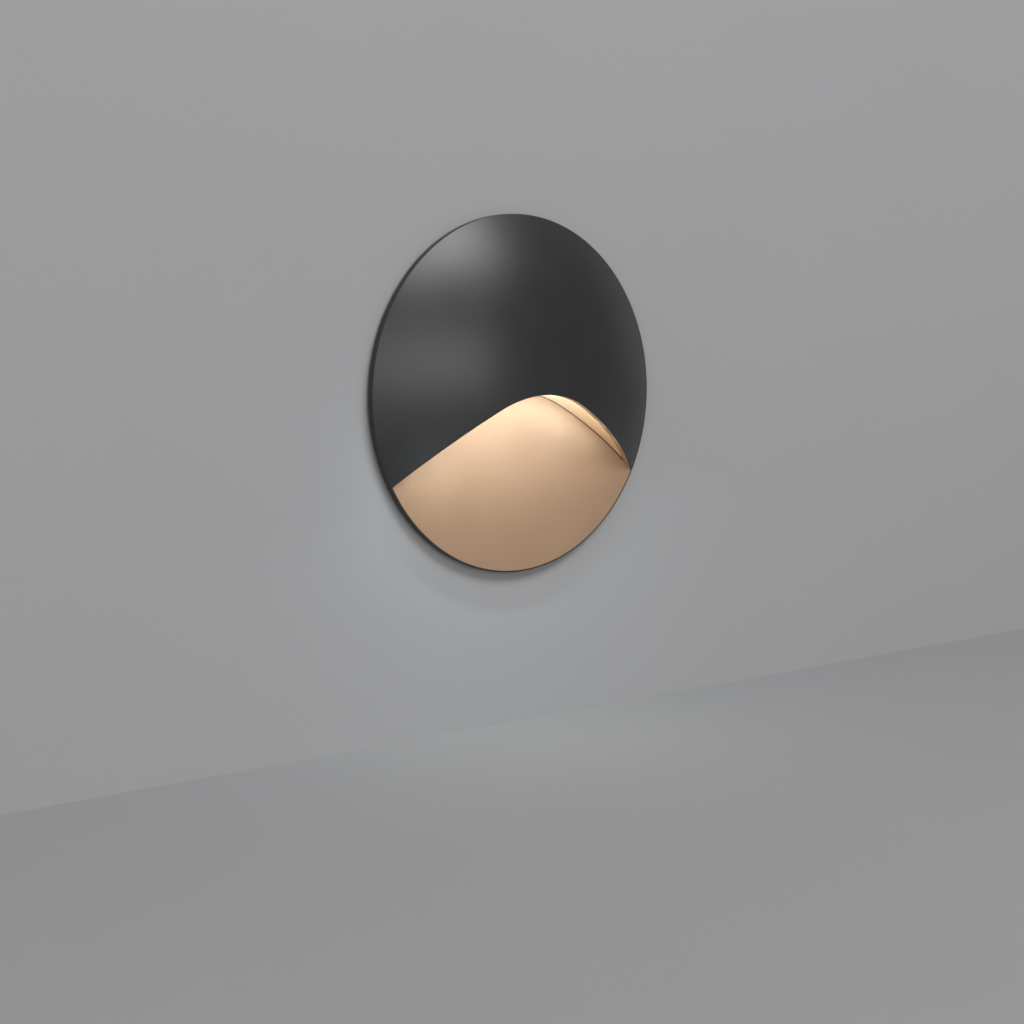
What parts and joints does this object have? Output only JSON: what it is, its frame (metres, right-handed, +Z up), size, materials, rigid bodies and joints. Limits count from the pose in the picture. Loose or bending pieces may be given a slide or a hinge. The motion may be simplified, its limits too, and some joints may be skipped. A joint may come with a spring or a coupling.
{
  "type": "recessed wall light",
  "caption": "Round recessed wall light: a graphite domed hood over a sand-coloured plate shines down, with a finned housing, cable gland and spring clips behind.",
  "frame": {"origin": "centre of the disc's back face, on the wall plane", "axes": "+X to the viewer's right, +Y into the wall, +Z up; the lit front faces -Y"},
  "size_m": [0.08, 0.0694, 0.08],
  "materials": {
    "graphite": "satin powder coat",
    "sand": "satin",
    "opal": "opal satin",
    "led": "gloss",
    "board": "satin solder mask",
    "cast": "as cast",
    "sheet_aluminium": "satin",
    "steel": "zinc plated",
    "spring_steel": "satin",
    "rubber": "matt",
    "pad": "matt",
    "nylon": "fine grain",
    "component": "matt",
    "capacitor": "gloss sleeve",
    "terminal": "satin",
    "lead": "satin"
  },
  "bodies": {
    "light": {"hood_shell": "graphite", "face_disc": "graphite", "reflector_plate": "sand", "diffuser": "opal", "hood_screws": "steel", "wall_gasket": "rubber", "led_carrier": "sheet_aluminium", "thermal_pad": "pad", "led_board": "board", "led_chips": "led", "carrier_screws": "steel", "led_leads": "lead", "lead_grommet": "rubber", "housing": "cast", "housing_gasket": "rubber", "housing_screws": "steel", "driver_board": "board", "driver_choke": "component", "driver_capacitors": "capacitor", "driver_rectifier": "component", "terminal_block": "terminal", "terminal_screws": "steel", "rear_cap": "nylon", "rear_seal": "rubber", "rear_cap_screws": "steel", "gland_body": "nylon", "gland_washer": "rubber", "gland_locknut": "nylon", "gland_seal": "rubber", "gland_nut": "nylon", "right_clip_bracket": "steel", "left_clip_bracket": "steel", "right_clip_pin": "steel", "left_clip_pin": "steel", "right_clip_spring": "spring_steel", "left_clip_spring": "spring_steel", "clip_screws": "steel"},
    "right_clip": {"right_clip_arm": "spring_steel", "right_clip_pad": "rubber"},
    "left_clip": {"left_clip_arm": "spring_steel", "left_clip_pad": "rubber"}
  },
  "joints": [
    {"name": "right_clip_swing", "type": "hinge", "parent": "light", "child": "right_clip", "pos_m": [0.03075, 0.024, 0], "axis": [0, 0, 1], "range_deg": [0, 158], "stiffness_Nm_per_rad": 0.03, "springref_deg": -34.38, "deforming": ["right_clip_spring"]},
    {"name": "left_clip_swing", "type": "hinge", "parent": "light", "child": "left_clip", "pos_m": [-0.03075, 0.024, 0], "axis": [0, 0, -1], "range_deg": [0, 158], "stiffness_Nm_per_rad": 0.03, "springref_deg": -34.38, "deforming": ["left_clip_spring"]}
  ]
}
